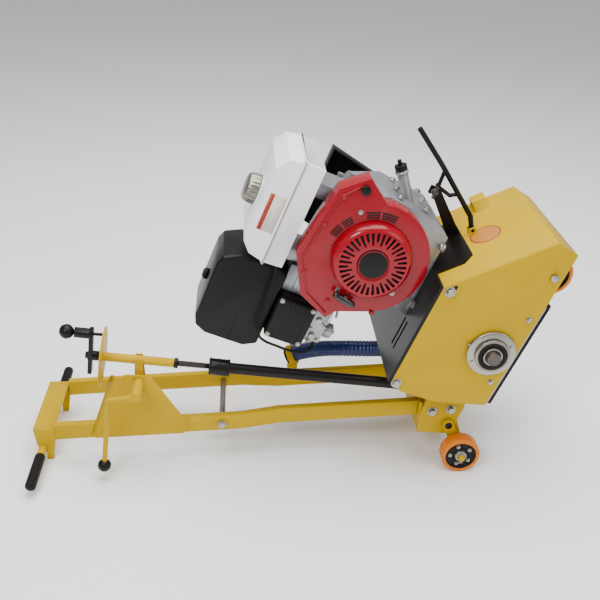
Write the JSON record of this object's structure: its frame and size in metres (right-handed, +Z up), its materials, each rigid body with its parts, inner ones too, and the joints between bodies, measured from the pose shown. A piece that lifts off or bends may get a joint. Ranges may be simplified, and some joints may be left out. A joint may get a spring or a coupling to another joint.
{
  "type": "walk-behind floor planer",
  "caption": "Petrol walk-behind planer: a cutter drum in a tipped steel housing, an engine on top, lifting wheels, a depth crank and a long twin-arm handle",
  "frame": {"origin": "ground point under the centre of the bounding box", "axes": "+X from the grips to the cutting housing, +Y to the operator's left, +Z up"},
  "size_m": [1.2922, 0.526, 0.8574],
  "materials": {
    "yellow_paint": "satin",
    "black_paint": "satin",
    "red_paint": "gloss",
    "white_plastic": "gloss",
    "black_plastic": "satin",
    "black_rubber": "matte",
    "zinc_steel": "satin",
    "dark_steel": "matte",
    "cast_aluminium": "satin",
    "orange_tyre": "satin",
    "blue_hose": "satin"
  },
  "bodies": {
    "chassis": {"right_arm": "yellow_paint", "left_arm": "yellow_paint", "handle_crossbar": "yellow_paint", "right_end_plate": "yellow_paint", "left_end_plate": "yellow_paint", "grip_tube": "yellow_paint", "gusset_plate": "yellow_paint", "axle_beam": "yellow_paint", "hose_bracket": "yellow_paint", "right_side_plate": "yellow_paint", "left_side_plate": "yellow_paint", "hood": "yellow_paint", "rear_wall": "yellow_paint", "engine_base": "black_paint", "belt_guard": "black_paint", "fan_shroud": "red_paint", "recoil_cover": "red_paint", "fuel_tank": "white_plastic", "air_cleaner": "black_plastic", "control_box": "black_plastic", "right_grip": "black_rubber", "left_grip": "black_rubber", "right_skirt_rubber": "black_rubber", "left_skirt_rubber": "black_rubber", "front_skirt": "black_rubber", "drive_belt": "black_rubber", "spacer_tube": "zinc_steel", "right_bearing_flange": "zinc_steel", "left_bearing_flange": "zinc_steel", "front_axle": "zinc_steel", "muffler": "dark_steel", "right_skirt_strip": "cast_aluminium", "left_skirt_strip": "cast_aluminium", "crankcase": "cast_aluminium", "cylinder_head": "cast_aluminium", "carburettor": "cast_aluminium", "dust_hose": "blue_hose"},
    "swing_axle": {"swing_axle": "yellow_paint"},
    "right_rear_wheel": {"right_rear_wheel": "orange_tyre"},
    "left_rear_wheel": {"left_rear_wheel": "orange_tyre"},
    "right_front_wheel": {"right_front_wheel": "orange_tyre"},
    "left_front_wheel": {"left_front_wheel": "orange_tyre"},
    "lift_lever": {"lift_lever": "yellow_paint", "lever_ball": "black_plastic"},
    "support_tube": {"support_tube": "yellow_paint"},
    "crank": {"crank": "black_paint"},
    "crank_knob": {"crank_knob": "black_plastic"},
    "push_tube": {"push_tube": "black_paint"},
    "drum": {"drum": "dark_steel", "drum_shaft": "dark_steel", "drum_pulley": "dark_steel"},
    "crankshaft": {"crankshaft": "zinc_steel", "engine_pulley": "dark_steel"},
    "starter_grip": {"starter_grip": "black_rubber"},
    "fuel_cap": {"fuel_cap": "black_plastic"},
    "oil_filler_cap": {"oil_filler_cap": "black_plastic"},
    "throttle_lever": {"throttle_lever": "zinc_steel"},
    "choke_lever": {"choke_lever": "zinc_steel"},
    "engine_switch": {"engine_switch": "black_plastic"},
    "lift_bar": {"lift_bar": "black_paint"}
  },
  "joints": [
    {"name": "axle_swing", "type": "hinge", "parent": "chassis", "child": "swing_axle", "pos_m": [0.41586, 0, 0.114], "axis": [0, 1, 0], "range_deg": [-8, 8]},
    {"name": "lever_swing", "type": "hinge", "parent": "chassis", "child": "lift_lever", "pos_m": [-0.37114, -0.16, 0.245], "axis": [0, 1, 0], "range_deg": [-15.53, 15.53]},
    {"name": "trunnion_turn", "type": "hinge", "parent": "lift_lever", "child": "support_tube", "pos_m": [-0.37114, -0.096, 0.292], "axis": [0, 1, 0], "range_deg": [-15.53, 15.53]},
    {"name": "crank_spin", "type": "hinge", "parent": "support_tube", "child": "crank", "pos_m": [-0.47054, -0.096, 0.30296], "axis": [0.994, 0, -0.1096], "range_deg": [-1080, 1080]},
    {"name": "knob_pull", "type": "slide", "parent": "crank", "child": "crank_knob", "axis": [-0.994, 0, 0.1096], "range_m": [0, 0.008], "stiffness_N_per_m": 400, "springref_m": -0.006},
    {"name": "push_tube_travel", "type": "slide", "parent": "support_tube", "child": "push_tube", "axis": [0.994, 0, -0.1096], "range_m": [-0.0091, 0.0091]},
    {"name": "right_rear_roll", "type": "hinge", "parent": "swing_axle", "child": "right_rear_wheel", "pos_m": [0.44586, -0.159, 0.05], "axis": [0, 1, 0], "continuous": true},
    {"name": "left_rear_roll", "type": "hinge", "parent": "swing_axle", "child": "left_rear_wheel", "pos_m": [0.44586, 0.159, 0.05], "axis": [0, 1, 0], "continuous": true},
    {"name": "right_front_roll", "type": "hinge", "parent": "chassis", "child": "right_front_wheel", "pos_m": [0.59622, -0.159, 0.56828], "axis": [0, 1, 0], "continuous": true},
    {"name": "left_front_roll", "type": "hinge", "parent": "chassis", "child": "left_front_wheel", "pos_m": [0.59622, 0.159, 0.56828], "axis": [0, 1, 0], "continuous": true},
    {"name": "drum_spin", "type": "hinge", "parent": "chassis", "child": "drum", "pos_m": [0.47632, 0, 0.36701], "axis": [0, 1, 0], "continuous": true},
    {"name": "crankshaft_spin", "type": "hinge", "parent": "chassis", "child": "crankshaft", "pos_m": [0.17763, 0, 0.58691], "axis": [0, 1, 0], "continuous": true},
    {"name": "starter_pull", "type": "slide", "parent": "chassis", "child": "starter_grip", "axis": [-0.5286, 0, -0.8489], "range_m": [0, 0.45], "stiffness_N_per_m": 40, "springref_m": -0.08},
    {"name": "fuel_cap_turn", "type": "hinge", "parent": "chassis", "child": "fuel_cap", "pos_m": [-0.09701, 0, 0.70845], "axis": [-0.9323, 0, 0.3616], "range_deg": [0, 90]},
    {"name": "oil_cap_turn", "type": "hinge", "parent": "chassis", "child": "oil_filler_cap", "pos_m": [0.24695, -0.02, 0.77669], "axis": [-0.2879, 0, 0.9577], "range_deg": [0, 360]},
    {"name": "throttle_turn", "type": "hinge", "parent": "chassis", "child": "throttle_lever", "pos_m": [0.06968, -0.086, 0.3971], "axis": [0, 1, 0], "range_deg": [-20, 35]},
    {"name": "choke_turn", "type": "hinge", "parent": "chassis", "child": "choke_lever", "pos_m": [0.05305, -0.086, 0.35421], "axis": [0, 1, 0], "range_deg": [-50, 10]},
    {"name": "switch_turn", "type": "hinge", "parent": "chassis", "child": "engine_switch", "pos_m": [0.15226, -0.14, 0.75657], "axis": [0, 1, 0], "range_deg": [0, 45]},
    {"name": "lift_bar_fold", "type": "hinge", "parent": "chassis", "child": "lift_bar", "pos_m": [0.44848, 0.02, 0.60074], "axis": [0, 1, 0], "range_deg": [0, 45]}
  ],
  "couplings": [
    {"joint": "lever_swing", "follows": "axle_swing", "ratio": 1.9291},
    {"joint": "trunnion_turn", "follows": "axle_swing", "ratio": -1.9291},
    {"joint": "push_tube_travel", "follows": "crank_spin", "m_per_rad": 0.00047746},
    {"joint": "crankshaft_spin", "follows": "drum_spin", "ratio": 1.1402}
  ]
}
